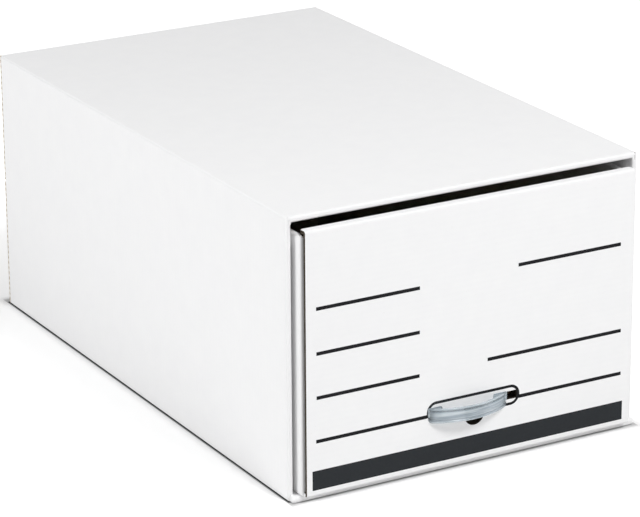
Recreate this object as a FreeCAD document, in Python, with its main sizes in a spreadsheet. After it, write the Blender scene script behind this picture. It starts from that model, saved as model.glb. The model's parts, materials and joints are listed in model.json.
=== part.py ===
# File box with drawer: a corrugated board sleeve, open at the front, with a corrugated board
# drawer that slides out along -Y. Each panel and flap between two folds is a body of its own.
# Sizes are in millimetres. X is the width, Y the depth (the front is at -Y), Z is up, and the
# origin is the middle of the sleeve's footprint on the floor.

import FreeCAD
import Part
import Sketcher
import os
import re

os.makedirs("parts", exist_ok=True)
doc = FreeCAD.newDocument("FileBoxWithDrawer")

driving_sizes = {
    # sleeve, outside
    "sleeve_width": 415.0,
    "sleeve_depth": 670.0,
    "sleeve_height": 300.0,
    # board and its folds
    "board": 3.2,
    "fold_radius": 2.6,
    "flap_relief": 1.5,
    "flap_corner": 9.0,
    # sleeve, front edge and closures
    "return_depth": 70.0,
    "lip_reach": 8.0,
    "lip_inset": 1.0,
    "lip_corner_radius": 3.0,
    "minor_flap_length": 140.0,
    "seam_gap": 2.0,
    "major_flap_inset": 1.2,
    "glue_flap_height": 38.0,
    # the drawer in its sleeve
    "drawer_pull": 15.0,
    "side_clearance": 4.0,
    "slide_clearance": 0.3,
    "top_gap": 6.0,
    "stop_clearance": 1.0,
    # drawer walls
    "front_inset": 3.0,
    "front_slack": 2.6,
    "rim_rise": 6.0,
    "handle_clear_width": 168.0,
    # lock tabs of the rolled-over walls
    "tab_length": 42.0,
    "tab_clearance": 0.4,
    "tab_corner": 1.5,
    "side_tab_count": 3,
    "side_tab_offset": 190.0,
    "end_tab_offset": 210.0,
    # holes for the handle and the fingers
    "handle_level": 62.2,
    "handle_width": 90.0,
    "slot_length": 18.0,
    "slot_height": 9.0,
    "slot_corner": 2.0,
    "finger_hole_width": 24.0,
    "finger_hole_height": 21.0,
    "finger_hole_drop": 24.0,
    "finger_hole_shift": 2.5,
    # handle
    "handle_shift": 6.0,
    "strap_height": 15.6,
    "strap_drop": 3.6,
    "strap_bow": 14.0,
    "strap_thickness": 2.6,
    "strap_edge_radius": 0.5,
    "rib_height": 2.0,
    "rib_depth": 0.7,
    "neck_width": 4.0,
    "neck_height": 8.0,
    "lock_width": 9.0,
    "lock_height": 18.0,
    "lock_thickness": 2.4,
    "lock_clearance": 0.3,
    "lock_corner_radius": 2.0,
    # how far a cut runs past an edge
    "cut_overrun": 1.0,
}

# Sizes that follow from the driving ones, as text for the document's expressions.
worked_out = {
    "inner_width": "(sleeve_width - 2 * board)",
    "wall_depth": "(sleeve_depth - board)",
    "sleeve_front": "(-sleeve_depth / 2)",
    "sleeve_back": "(sleeve_depth / 2)",
    "drawer_width": "(sleeve_width - 4 * board - 2 * side_clearance)",
    "drawer_length": "(sleeve_depth - 2 * board - stop_clearance)",
    "drawer_front": "(sleeve_front - drawer_pull)",
    "drawer_back": "(drawer_front + drawer_length)",
    "drawer_level": "(2 * board + slide_clearance)",
    "end_height": "(sleeve_height - 2 * board - top_gap - drawer_level)",
    "side_height": "(end_height - rim_rise)",
    "back_wall": "(3 * board)",
    "front_wall": "(3 * board + front_slack)",
    "floor_width": "(drawer_width - 2 * board)",
    "floor_length": "(drawer_length - 2 * board)",
    "corner_flap_length": "(floor_width / 2 - handle_clear_width / 2)",
    "side_length": "(drawer_length - 2 * board - front_slack)",
    "inner_length": "(drawer_length - front_wall - back_wall)",
    "face_width": "(drawer_width - 2 * front_inset)",
    "side_tab_span": "(side_tab_offset * (side_tab_count - 1) + tab_length)",
    "strap_half": "(handle_width / 2 + neck_width / 2)",
    "strap_radius": "((strap_half * strap_half + strap_bow * strap_bow) / (2 * strap_bow))",
}

# Edges are picked by where they lie, within this share of the board's thickness.
edge_match_share = 0.01
# The strap's inner arc starts out at this share of the outer one, until its sketch is solved.
first_inner_share = 0.9

sheet = doc.addObject("Spreadsheet::Sheet", "Sizes")
for row, (name, size) in enumerate(driving_sizes.items(), start=1):
    sheet.set(f"A{row}", name)
    sheet.set(f"B{row}", str(size))
    sheet.setAlias(f"B{row}", name)
doc.recompute()

bodies = []
cuts = []


def bound(text):
    # Spells a size out in the sheet's own cells.
    known = "|".join(worked_out)
    while re.search(rf"\b({known})\b", text):
        text = re.sub(rf"\b({known})\b", lambda match: worked_out[match.group(1)], text)
    return re.sub(r"\b([a-z]+(?:_[a-z]+)*)\b", r"Sizes.\1", text)


def new_body(label, x, y, z):
    # A body whose own corner or middle sits at x, y, z.
    body = doc.addObject("PartDesign::Body", label)
    body.Label = label
    for axis, text in (("x", x), ("y", y), ("z", z)):
        if text != "0":
            body.setExpression(f"Placement.Base.{axis}", bound(text))
    bodies.append(body)
    return body


def new_sketch(body, name, plane, offset="0"):
    sketch = body.newObject("Sketcher::SketchObject", name)
    support = next(item for item in body.Origin.OriginFeatures if item.Role == plane)
    sketch.AttachmentSupport = (support, "")
    sketch.MapMode = "FlatFace"
    if offset != "0":
        sketch.setExpression("AttachmentOffset.Base.z", bound(offset))
    return sketch


def drive(sketch, kind, *references, size, start=1):
    # Adds a distance or radius, which starts out at start, and binds it to the sheet.
    index = sketch.addConstraint(Sketcher.Constraint(kind, *references, float(start)))
    sketch.setExpression(f"Constraints[{index}]", bound(size))


def four_lines(sketch, left, low, right, high, level_lines=(0, 2)):
    corners = [(left, low), (right, low), (right, high), (left, high)]
    points = [FreeCAD.Vector(u, v, 0) for u, v in corners]
    first = sketch.GeometryCount
    for i, point in enumerate(points):
        sketch.addGeometry(Part.LineSegment(point, points[(i + 1) % 4]))
    for i in range(4):
        sketch.addConstraint(Sketcher.Constraint("Coincident", first + i, 2, first + (i + 1) % 4, 1))
    for i in level_lines:
        sketch.addConstraint(Sketcher.Constraint("Horizontal", first + i))
    for i in (1, 3):
        sketch.addConstraint(Sketcher.Constraint("Vertical", first + i))
    return first


def set_off(sketch, kind, line, distance, axis):
    # Places a line's first point on an axis, or a bound distance from the sketch's origin.
    if distance == "0":
        sketch.addConstraint(Sketcher.Constraint("PointOnObject", line, 1, axis))
    else:
        drive(sketch, kind, -1, 1, line, 1, size=distance)


def rectangle(sketch, width, height, left="0", low="0"):
    first = four_lines(sketch, 0, 0, 1, 1)
    drive(sketch, "DistanceX", first, 1, first, 2, size=width)
    drive(sketch, "DistanceY", first + 1, 1, first + 1, 2, size=height)
    set_off(sketch, "DistanceX", first, left, -2)
    set_off(sketch, "DistanceY", first, low, -1)


def middle_rectangle(sketch, width, height, low="0"):
    # A rectangle whose middle lies on the sketch's upright axis; its symmetry levels line 0.
    first = four_lines(sketch, -1, 0, 1, 1, level_lines=(2,))
    drive(sketch, "DistanceX", first, 1, first, 2, size=width)
    drive(sketch, "DistanceY", first + 1, 1, first + 1, 2, size=height)
    sketch.addConstraint(Sketcher.Constraint("Symmetric", first, 1, first, 2, -2))
    set_off(sketch, "DistanceY", first, low, -1)


def twin_rectangles(sketch, inner, width, height, low="0"):
    # Two rectangles, one on each side of the upright axis, whose near edges are inner from it.
    right = four_lines(sketch, 0, 0, 1, 1)
    left = four_lines(sketch, -1, 0, 0, 1)
    drive(sketch, "DistanceX", right, 1, right, 2, size=width)
    drive(sketch, "DistanceY", right + 1, 1, right + 1, 2, size=height)
    set_off(sketch, "DistanceX", right, inner, -2)
    set_off(sketch, "DistanceY", right, low, -1)
    sketch.addConstraint(Sketcher.Constraint("Symmetric", right, 1, left, 2, -2))
    sketch.addConstraint(Sketcher.Constraint("Symmetric", right + 2, 1, left + 2, 2, -2))


def pad(body, sketch, name, length, reverse=False):
    feature = body.newObject("PartDesign::Pad", name)
    feature.Profile = sketch
    feature.Reversed = reverse
    feature.setExpression("Length", bound(length))
    body.Tip = feature
    return feature


def pocket(body, sketch, name, reverse=False):
    # A cut right through; the material left is compared with the body before it at the end.
    before = body.Tip
    feature = body.newObject("PartDesign::Pocket", name)
    feature.Profile = sketch
    feature.Type = "ThroughAll"
    feature.Reversed = reverse
    body.Tip = feature
    cuts.append((before, feature))
    return feature


def line_ends(edge):
    return [vertex.Point for vertex in edge.Vertexes]


def close(first, second):
    return abs(first - second) < driving_sizes["board"] * edge_match_share


def along(*spots):
    # Chooses the edges that lie along the given sides of the shape's box.
    def chosen(edge, box):
        limits = {
            "x": {"low": box.XMin, "high": box.XMax},
            "y": {"low": box.YMin, "high": box.YMax},
            "z": {"low": box.ZMin, "high": box.ZMax},
        }
        return any(all(close(getattr(end, axis), limits[axis][side])
                       for end in line_ends(edge) for axis, side in spot.items())
                   for spot in spots)
    return chosen


def through_the_board(edge, box):
    # Chooses the edges that cross the board's thickness inside its outline, above any tabs.
    first, last = line_ends(edge)
    crosses = close(abs(first.y - last.y), driving_sizes["board"])
    inside = not close(abs(first.x), box.XMax) and not close(first.z, box.ZMax)
    return crosses and inside and first.z > driving_sizes["handle_level"] / 2


def tab_corners(thickness_axis):
    # Chooses the tabs' lower corners, the edges across the board at the very bottom.
    def chosen(edge, box):
        first, last = line_ends(edge)
        low = close(first.z, box.ZMin) and close(last.z, box.ZMin)
        return low and not close(getattr(first, thickness_axis), getattr(last, thickness_axis))
    return chosen


def outer_bow(edge, box):
    # Chooses the strap's outermost arcs.
    return isinstance(edge.Curve, Part.Circle) and close(edge.Curve.Radius, strap_radius())


def lock_corners(edge, box):
    # Chooses the edges along the depth that end at the lock bars' far face.
    first, last = line_ends(edge)
    level = close(first.x, last.x) and close(first.z, last.z)
    return level and close(max(first.y, last.y), box.YMax)


def dress(body, kind, name, size_property, size, chosen):
    # Rounds or bevels the chosen edges of the body's last feature.
    doc.recompute()
    base = body.Tip
    box = base.Shape.BoundBox
    names = [f"Edge{number}" for number, edge in enumerate(base.Shape.Edges, start=1)
             if len(edge.Vertexes) == 2 and chosen(edge, box)]
    feature = body.newObject(f"PartDesign::{kind}", name)
    feature.Base = (base, names)
    feature.setExpression(size_property, bound(size))
    body.Tip = feature


def fold(body, *spots):
    dress(body, "Fillet", "Fold", "Radius", "fold_radius", along(*spots))


def bevel_flap(body, *spots):
    dress(body, "Chamfer", "FlapCorner", "Size", "flap_corner", along(*spots))


def floor_panel(label, width, length, y, z):
    # A level panel, its middle on the drawer's and sleeve's middle plane.
    body = new_body(label, "0", y, z)
    sketch = new_sketch(body, "Outline", "XY_Plane")
    middle_rectangle(sketch, width, length)
    pad(body, sketch, "Board", "board")
    return body


def side_panel(label, length, height, x, y, z, low="0"):
    # An upright panel along the depth.
    body = new_body(label, x, y, z)
    sketch = new_sketch(body, "Outline", "YZ_Plane")
    rectangle(sketch, length, height, low=low)
    pad(body, sketch, "Board", "board")
    return body


def end_panel(label, width, height, y, z, low="0", thickness="board"):
    # An upright panel across the width, its middle on the middle plane.
    body = new_body(label, "0", y, z)
    sketch = new_sketch(body, "Outline", "XZ_Plane")
    middle_rectangle(sketch, width, height, low=low)
    pad(body, sketch, "Board", thickness, reverse=True)
    return body


def end_flap(label, side, reach, height, edge, y, z):
    # A flap folded in from a side wall; edge is how far its fold lies from the middle plane.
    x = f"-{edge}" if side == "left" else f"{edge} - {reach}"
    free = "high" if side == "left" else "low"
    body = new_body(label, x, y, z)
    sketch = new_sketch(body, "Outline", "XZ_Plane")
    rectangle(sketch, reach, height)
    pad(body, sketch, "Board", "board", reverse=True)
    bevel_flap(body, {"x": free, "z": "low"}, {"x": free, "z": "high"})
    return body


def side_x(side, outer):
    # The x of the low corner of a board thickness whose outer face is outer from the middle.
    return f"-{outer}" if side == "left" else f"{outer} - board"


# Sleeve walls
def make_sleeve_walls():
    for side, outside in (("left", "low"), ("right", "high")):
        wall = side_panel(f"sleeve_{side}_side", "wall_depth", "sleeve_height",
                          side_x(side, "sleeve_width / 2"), "sleeve_front", "0")
        fold(wall, {"x": outside, "z": "low"}, {"x": outside, "z": "high"},
             {"x": outside, "y": "low"}, {"x": outside, "y": "high"})
    top = floor_panel("sleeve_top", "inner_width", "wall_depth",
                      "sleeve_front", "sleeve_height - board")
    fold(top, {"y": "low", "z": "high"})


# Sleeve floor of two layers, folded at a lip that runs out under the drawer's front
def make_sleeve_floor():
    for label, level, length, outside in (
            ("sleeve_bottom", "0", "wall_depth", "low"),
            ("sleeve_inner_floor", "board", "wall_depth - board", "high")):
        layer = new_body(label, "0", "sleeve_front - lip_reach", level)
        lip = new_sketch(layer, "LipOutline", "XY_Plane")
        middle_rectangle(lip, "sleeve_width - 2 * lip_inset", "lip_reach")
        pad(layer, lip, "Lip", "board")
        dress(layer, "Fillet", "LipCorners", "Radius", "lip_corner_radius",
              along({"x": "low", "y": "low"}, {"x": "high", "y": "low"}))
        fold(layer, {"y": "low", "z": outside})
        outline = new_sketch(layer, "Outline", "XY_Plane")
        middle_rectangle(outline, "inner_width", length, low="lip_reach")
        pad(layer, outline, "Board", "board")


# Margins folded in along the sleeve's front edge, which double it
def make_sleeve_returns():
    top = floor_panel("sleeve_top_return", "inner_width - 2 * flap_relief", "return_depth",
                      "sleeve_front", "sleeve_height - 2 * board")
    fold(top, {"y": "low", "z": "low"})
    for side, inside in (("left", "high"), ("right", "low")):
        margin = side_panel(f"sleeve_{side}_return", "return_depth",
                            "sleeve_height - 4 * board - flap_relief",
                            side_x(side, "inner_width / 2"), "sleeve_front", "2 * board")
        fold(margin, {"x": inside, "y": "low"})


# Flap that joins the wrap inside the right wall
def make_glue_flap():
    flap = side_panel("sleeve_glue_flap",
                      "sleeve_depth - 2 * board - return_depth - 2 * flap_relief",
                      "glue_flap_height", side_x("right", "inner_width / 2"),
                      "sleeve_front + return_depth + flap_relief", "2 * board")
    bevel_flap(flap, {"y": "low", "z": "high"}, {"y": "high", "z": "high"})


# Back of the sleeve: two narrow flaps inside, two wide ones that meet at a seam outside
def make_sleeve_back():
    for side in ("left", "right"):
        end_flap(f"sleeve_back_{side}_flap", side, "minor_flap_length",
                 "sleeve_height - 2 * board - 2 * flap_relief", "inner_width / 2",
                 "sleeve_back - 2 * board", "board + flap_relief")
    reach = "sleeve_height / 2 - seam_gap / 2"
    for level, outside, z in (("top", "high", "sleeve_height / 2 + seam_gap / 2"),
                              ("bottom", "low", "0")):
        flap = end_panel(f"sleeve_back_{level}_flap", "sleeve_width - 2 * major_flap_inset",
                         reach, "sleeve_back - board", z)
        fold(flap, {"y": "high", "z": outside})


# Drawer floor, notched and slotted for the lock tabs
def make_drawer_floor():
    floor = floor_panel("drawer_bottom", "floor_width", "floor_length",
                        "drawer_front + board", "drawer_level")
    notch = new_sketch(floor, "SideNotches", "XY_Plane")
    twin_rectangles(notch, "floor_width / 2 - board - tab_clearance",
                    "board + tab_clearance + cut_overrun", "tab_length + 2 * tab_clearance",
                    low="floor_length / 2 - side_tab_span / 2 - tab_clearance")
    notches = pocket(floor, notch, "SideNotch", reverse=True)
    repeat_along_depth(floor, notches, notch, "V_Axis")
    end_slots = new_sketch(floor, "EndSlots", "XY_Plane")
    for low in ("board + front_slack - tab_clearance", "floor_length - 2 * board - tab_clearance"):
        twin_rectangles(end_slots, "end_tab_offset / 2 - tab_length / 2 - tab_clearance",
                        "tab_length + 2 * tab_clearance", "board + 2 * tab_clearance", low=low)
    pocket(floor, end_slots, "EndSlot", reverse=True)


def repeat_along_depth(body, feature, sketch, axis):
    # Repeats a tab or its notch along the drawer's depth.
    pattern = body.newObject("PartDesign::LinearPattern", "AlongDepth")
    pattern.Originals = [feature]
    pattern.Direction = (sketch, [axis])
    pattern.setExpression("Occurrences", bound("side_tab_count"))
    pattern.setExpression("Length", bound("side_tab_offset * (side_tab_count - 1)"))
    body.Tip = pattern


# Drawer sides: an outer wall, and its rolled-over inner half with lock tabs
def make_drawer_sides():
    for side, outside, inside in (("left", "low", "high"), ("right", "high", "low")):
        wall = side_panel(f"drawer_{side}_side", "side_length", "side_height",
                          side_x(side, "drawer_width / 2"),
                          "drawer_front + board + front_slack", "drawer_level")
        fold(wall, {"x": outside, "z": "low"}, {"x": outside, "z": "high"},
             {"x": outside, "y": "low"}, {"x": outside, "y": "high"})
        inner = side_panel(f"drawer_{side}_inner_side", "inner_length",
                           "side_height - board", side_x(side, "floor_width / 2"),
                           "drawer_front + front_wall", "drawer_level", low="board")
        fold(inner, {"x": inside, "z": "high"})
        tab = new_sketch(inner, "TabOutline", "YZ_Plane")
        rectangle(tab, "tab_length", "2 * board",
                  left="drawer_length / 2 - front_wall - side_tab_span / 2")
        tabs = pad(inner, tab, "Tab", "board")
        repeat_along_depth(inner, tabs, tab, "H_Axis")
        dress(inner, "Fillet", "TabCorners", "Radius", "tab_corner", tab_corners("x"))


def finger_outline(sketch):
    # Two upright sides, a level top and a half circle below that runs smoothly into both sides.
    corners = [FreeCAD.Vector(u, v, 0) for u, v in ((-1, 0), (-1, 1), (1, 1), (1, 0))]
    bottom = sketch.addGeometry(Part.Arc(corners[0], FreeCAD.Vector(0, -1, 0), corners[3]))
    left, top, right = (sketch.addGeometry(Part.LineSegment(*pair))
                        for pair in zip(corners, corners[1:]))
    for ends in ((bottom, 1, left, 1), (left, 2, top, 1), (top, 2, right, 1), (right, 2, bottom, 2)):
        sketch.addConstraint(Sketcher.Constraint("Coincident", *ends))
    for item in ((top,), (bottom, 1, bottom, 3), (bottom, 2, bottom, 3)):
        sketch.addConstraint(Sketcher.Constraint("Horizontal", *item))
    for side in (left, right):
        sketch.addConstraint(Sketcher.Constraint("Vertical", side))
    drive(sketch, "DistanceX", -1, 1, bottom, 3, size="finger_hole_shift")
    drive(sketch, "DistanceY", -1, 1, bottom, 3,
          size="handle_level - finger_hole_drop + finger_hole_width / 2")
    drive(sketch, "Radius", bottom, size="finger_hole_width / 2")
    drive(sketch, "DistanceY", left, 1, left, 2, size="finger_hole_height - finger_hole_width / 2")


def cut_handle_holes(body):
    # Two slots that take the handle's necks, and a round-bottomed hole for the fingers.
    slots = new_sketch(body, "HandleSlots", "XZ_Plane")
    twin_rectangles(slots, "handle_width / 2 - slot_length / 2", "slot_length", "slot_height",
                    low="handle_level - slot_height / 2")
    pocket(body, slots, "HandleSlot")
    dress(body, "Fillet", "SlotCorners", "Radius", "slot_corner", through_the_board)
    hole = new_sketch(body, "FingerHoleOutline", "XZ_Plane")
    finger_outline(hole)
    pocket(body, hole, "FingerHole")


# Drawer ends: an outer face, a top edge that rolls over, and an inner half with lock tabs
def make_drawer_end(end):
    front = end == "front"
    outside, inside = ("low", "high") if front else ("high", "low")
    if front:
        gap = "board + front_slack"
        layers = ["drawer_front", f"drawer_front + {gap}", f"drawer_front + board + {gap}"]
    else:
        gap = "board"
        layers = [f"drawer_back - {i} * board" for i in (1, 2, 3)]
    face = end_panel(f"drawer_{end}_panel", "face_width", "end_height", layers[0],
                     "drawer_level")
    fold(face, {"y": outside, "z": "low"}, {"y": outside, "z": "high"})
    end_panel(f"drawer_{end}_top_edge", "face_width", "board",
              "drawer_front + board" if front else layers[1],
              "drawer_level + end_height - board", thickness=gap)
    inner = end_panel(f"drawer_{end}_inner_panel", "floor_width - 2 * flap_relief",
                      "end_height - board", layers[2], "drawer_level", low="board")
    fold(inner, {"y": inside, "z": "high"})
    tabs = new_sketch(inner, "TabOutline", "XZ_Plane")
    twin_rectangles(tabs, "end_tab_offset / 2 - tab_length / 2", "tab_length", "2 * board")
    pad(inner, tabs, "Tab", "board", reverse=True)
    dress(inner, "Fillet", "TabCorners", "Radius", "tab_corner", tab_corners("y"))
    if front:
        cut_handle_holes(face)
        cut_handle_holes(inner)
    for side in ("left", "right"):
        end_flap(f"drawer_{end}_{side}_flap", side, "corner_flap_length",
                 "side_height - board - 2 * flap_relief", "floor_width / 2", layers[1],
                 "drawer_level + board + flap_relief")


def strap_radius():
    # The radius that carries the strap from neck to neck at its full bow, for finding its edges.
    half = driving_sizes["handle_width"] / 2 + driving_sizes["neck_width"] / 2
    bow = driving_sizes["strap_bow"]
    return (half * half + bow * bow) / (2 * bow)


def bow_outline(sketch, outer_radius, inner_radius):
    # The region between two arcs about one centre behind the drawer's face, cut off at the face.
    half = driving_sizes["handle_width"] / 2
    bow = driving_sizes["strap_bow"]
    arcs = []
    for share in (1, first_inner_share):
        start = FreeCAD.Vector(-half * share, 0, 0)
        crown = FreeCAD.Vector(0, -bow * share, 0)
        end = FreeCAD.Vector(half * share, 0, 0)
        arcs.append(sketch.addGeometry(Part.Arc(start, crown, end)))
    outer, inner = arcs
    for point in (1, 2):
        ends = [sketch.getPoint(arc, point) for arc in arcs]
        line = sketch.addGeometry(Part.LineSegment(*ends))
        sketch.addConstraint(Sketcher.Constraint("Coincident", outer, point, line, 1))
        sketch.addConstraint(Sketcher.Constraint("Coincident", inner, point, line, 2))
        sketch.addConstraint(Sketcher.Constraint("PointOnObject", line, 1, -1))
        sketch.addConstraint(Sketcher.Constraint("PointOnObject", line, 2, -1))
    sketch.addConstraint(Sketcher.Constraint("Coincident", outer, 3, inner, 3))
    sketch.addConstraint(Sketcher.Constraint("PointOnObject", outer, 3, -2))
    drive(sketch, "DistanceY", -1, 1, outer, 3, size="strap_radius - strap_bow",
          start=sketch.getPoint(outer, 3).y)
    for arc, radius in ((outer, outer_radius), (inner, inner_radius)):
        drive(sketch, "Radius", arc, size=radius, start=sketch.Geometry[arc].Radius)


# Handle: a bowed strap with ribbed edges, on two necks that end in lock bars
def make_handle():
    handle = new_body("handle", "-handle_shift", "drawer_front",
                      "drawer_level + handle_level - strap_drop - strap_height / 2")
    band = new_sketch(handle, "StrapBow", "XY_Plane")
    bow_outline(band, "strap_radius", "strap_radius - strap_thickness")
    pad(handle, band, "Strap", "strap_height")
    channel = new_sketch(handle, "Channel", "XY_Plane", offset="rib_height")
    bow_outline(channel, "strap_radius + cut_overrun", "strap_radius - rib_depth")
    before = handle.Tip
    groove = handle.newObject("PartDesign::Pocket", "EdgeRibs")
    groove.Profile = channel
    groove.Reversed = True
    groove.setExpression("Length", bound("strap_height - 2 * rib_height"))
    cuts.append((before, groove))
    handle.Tip = groove
    dress(handle, "Fillet", "StrapEdges", "Radius", "strap_edge_radius", outer_bow)
    neck = new_sketch(handle, "NeckOutline", "XY_Plane",
                      offset="strap_height / 2 + strap_drop - neck_height / 2")
    twin_rectangles(neck, "strap_half - neck_width", "neck_width",
                    "front_wall + lock_clearance + lock_thickness")
    pad(handle, neck, "Neck", "neck_height")
    lock = new_sketch(handle, "LockOutline", "XY_Plane",
                      offset="strap_height / 2 + strap_drop - lock_height / 2")
    twin_rectangles(lock, "strap_half - neck_width / 2 - lock_width / 2", "lock_width",
                    "lock_thickness", low="front_wall + lock_clearance")
    pad(handle, lock, "LockBar", "lock_height")
    dress(handle, "Fillet", "LockCorners", "Radius", "lock_corner_radius", lock_corners)


def check_document():
    # Stops on a failed object, a cut that removes nothing, or a body without a sound solid.
    for item in doc.Objects:
        if "Invalid" in item.State or "Error" in item.State:
            raise RuntimeError(f"{item.Name} failed: {item.State}")
    for before, after in cuts:
        if after.Shape.Volume >= before.Shape.Volume:
            raise RuntimeError(f"{after.Name} cuts nothing")
    for body in bodies:
        if body.Shape.isNull() or not body.Shape.isValid() or len(body.Shape.Solids) != 1:
            raise RuntimeError(f"{body.Label} is not one valid solid")


make_sleeve_walls()
make_sleeve_floor()
make_sleeve_returns()
make_glue_flap()
make_sleeve_back()
make_drawer_floor()
make_drawer_sides()
make_drawer_end("front")
make_drawer_end("back")
make_handle()
doc.recompute()
check_document()

for body in bodies:
    body.Shape.exportStep(f"parts/{body.Label}.step")
print(len(bodies), "pieces written")
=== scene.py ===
# File box with drawer: a white corrugated board sleeve, a drawer of the same board with a printed
# front, and a bowed clear plastic pull. Metres, +Z up, the front is at -Y.
import bpy
import bmesh
import json
import math
from mathutils import Matrix, Vector
from mathutils.bvhtree import BVHTree

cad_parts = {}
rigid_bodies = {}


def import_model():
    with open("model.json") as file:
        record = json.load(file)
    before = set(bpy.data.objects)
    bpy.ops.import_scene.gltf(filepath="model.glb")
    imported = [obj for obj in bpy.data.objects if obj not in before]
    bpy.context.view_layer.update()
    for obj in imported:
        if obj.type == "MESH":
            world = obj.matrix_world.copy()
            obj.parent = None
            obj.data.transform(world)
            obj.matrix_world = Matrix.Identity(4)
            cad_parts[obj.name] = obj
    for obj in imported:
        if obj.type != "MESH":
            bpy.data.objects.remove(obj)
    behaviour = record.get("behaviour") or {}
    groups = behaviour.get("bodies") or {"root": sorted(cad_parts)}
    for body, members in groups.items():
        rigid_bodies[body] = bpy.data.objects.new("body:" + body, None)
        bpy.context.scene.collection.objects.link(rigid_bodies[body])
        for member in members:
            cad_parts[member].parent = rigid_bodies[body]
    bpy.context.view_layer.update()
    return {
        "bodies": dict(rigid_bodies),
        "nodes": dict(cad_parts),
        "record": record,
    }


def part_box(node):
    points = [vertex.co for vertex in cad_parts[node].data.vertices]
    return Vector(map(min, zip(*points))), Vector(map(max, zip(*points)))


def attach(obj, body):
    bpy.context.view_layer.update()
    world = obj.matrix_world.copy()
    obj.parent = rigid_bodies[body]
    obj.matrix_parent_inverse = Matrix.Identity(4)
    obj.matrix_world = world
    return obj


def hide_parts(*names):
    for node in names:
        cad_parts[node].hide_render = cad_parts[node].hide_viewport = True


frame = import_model()
mm = 0.001
print("frame loaded:", len(frame["nodes"]), "nodes")

# Double-faced board, B flute: two liners glued to a wavy medium
board = {
    "thickness": 3.2 * mm,
    "liner": 0.35 * mm,
    "fluteSpacing": 6.4 * mm,
    "flutePaper": 0.25 * mm,
    "fluteSlack": 0.1 * mm,    # between the medium and the liners
    "fluteInset": 0.4 * mm,    # of the medium behind the liners' edges
    "fluteSteps": 10,          # points along one wave
    "recess": 7 * mm,          # how far one looks in between the liners at an open end
    "edgeSoftness": 0.3 * mm,  # rounding of a die-cut edge
}


# Small helpers
def hexColor(text):
    parts = [int(text[i:i + 2], 16) / 255 for i in (0, 2, 4)]
    return (*[c / 12.92 if c <= 0.04045 else ((c + 0.055) / 1.055) ** 2.4 for c in parts], 1)


def addNode(tree, kind, inputs=None, **settings):
    node = tree.nodes.new(kind)
    for name, value in settings.items():
        setattr(node, name, value)
    for key, value in (inputs or {}).items():
        if isinstance(value, bpy.types.NodeSocket):
            tree.links.new(value, node.inputs[key])
        else:
            node.inputs[key].default_value = value
    return node


def newMaterial(name):
    material = bpy.data.materials.new(name)
    material.use_nodes = True
    material.node_tree.nodes.clear()
    return material, material.node_tree


def objectPlace(tree):
    return addNode(tree, "ShaderNodeTexCoord").outputs["Object"]


def attribute(tree, name):
    return addNode(tree, "ShaderNodeAttribute", attribute_name=name).outputs["Fac"]


def addMath(tree, operation, *values):
    return addNode(tree, "ShaderNodeMath", dict(enumerate(values)), operation=operation).outputs[0]


def mapRange(tree, value, low=0.0, high=1.0, toLow=0.0, toHigh=1.0):
    return addNode(tree, "ShaderNodeMapRange", {"Value": value, "From Min": low, "From Max": high,
                                                "To Min": toLow, "To Max": toHigh}).outputs[0]


def spots(tree, place, size, detail, **more):
    # Noise whose spots are about this size
    return addNode(tree, "ShaderNodeTexNoise", {"Vector": place, "Scale": 1 / size, "Detail": detail,
                                                **more}).outputs["Fac"]


def streaks(tree, place, sizes, detail, bend):
    # Noise whose spots are drawn out to these three sizes
    drawn = addNode(tree, "ShaderNodeMapping", {"Vector": place, "Scale": [1 / size for size in sizes]})
    return spots(tree, drawn.outputs[0], 1, detail, Distortion=bend)


def mixColours(tree, factor, first, second):
    # Both are sRGB hex or the output of another node.
    first, second = (hexColor(item) if isinstance(item, str) else item for item in (first, second))
    return addNode(tree, "ShaderNodeMix", {"Factor": factor, 6: first, 7: second},
                   data_type="RGBA").outputs[2]


def addBump(tree, height, depth, under=None):
    inputs = {"Height": height, "Distance": depth, "Strength": 1.0}
    if under:
        inputs["Normal"] = under
    return addNode(tree, "ShaderNodeBump", inputs).outputs["Normal"]


def fluteRipple(tree, operation):
    # A wave that follows the flutes under the liner
    turns = addMath(tree, "MULTIPLY", attribute(tree, "acrossFlutes"), 2 * math.pi / board["fluteSpacing"])
    return addMath(tree, operation, turns)


def addSurface(tree, inputs):
    shader = addNode(tree, "ShaderNodeBsdfPrincipled", inputs)
    addNode(tree, "ShaderNodeOutputMaterial", {"Surface": shader.outputs[0]})


# White top liner: bleached kraft with a thin clay coat, rolled smooth. It is matt with a slight sheen,
# a little cloudy, and the flutes show through as faint stripes.
def makeWhiteLiner():
    look = {
        "white": "F9F9F9", "cloud": "F4F4F5", "speck": "DCD8D2",
        "cloudSize": 18 * mm, "speckSize": 1.1 * mm, "fibreSize": 0.6 * mm,
        "rippleDepth": 0.018 * mm, "fibreDepth": 0.012 * mm, "stripe": 0.25,
        "speckFrom": 0.73, "speckTo": 0.79, "speckShare": 0.45, "smooth": 0.5, "rough": 0.66,
    }
    material, tree = newMaterial("bleachedTopLiner")
    place = objectPlace(tree)
    ripple = fluteRipple(tree, "COSINE")
    clouds = spots(tree, place, look["cloudSize"], detail=5.0, Roughness=0.6)
    base = mixColours(tree, clouds, look["white"], look["cloud"])
    striped = mixColours(tree, mapRange(tree, ripple, -1.0, 1.0, 0.0, look["stripe"]), base, look["cloud"])
    specks = mapRange(tree, spots(tree, place, look["speckSize"], detail=1.0), look["speckFrom"],
                      look["speckTo"], 0.0, look["speckShare"])
    fibres = spots(tree, place, look["fibreSize"], detail=3.0)
    waves = addBump(tree, ripple, look["rippleDepth"])
    addSurface(tree, {
        "Base Color": mixColours(tree, specks, striped, look["speck"]),
        "Roughness": mapRange(tree, clouds, toLow=look["smooth"], toHigh=look["rough"]),
        "IOR": 1.5, "Specular IOR Level": 0.35,
        "Normal": addBump(tree, fibres, look["fibreDepth"], waves)})
    return material


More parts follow.
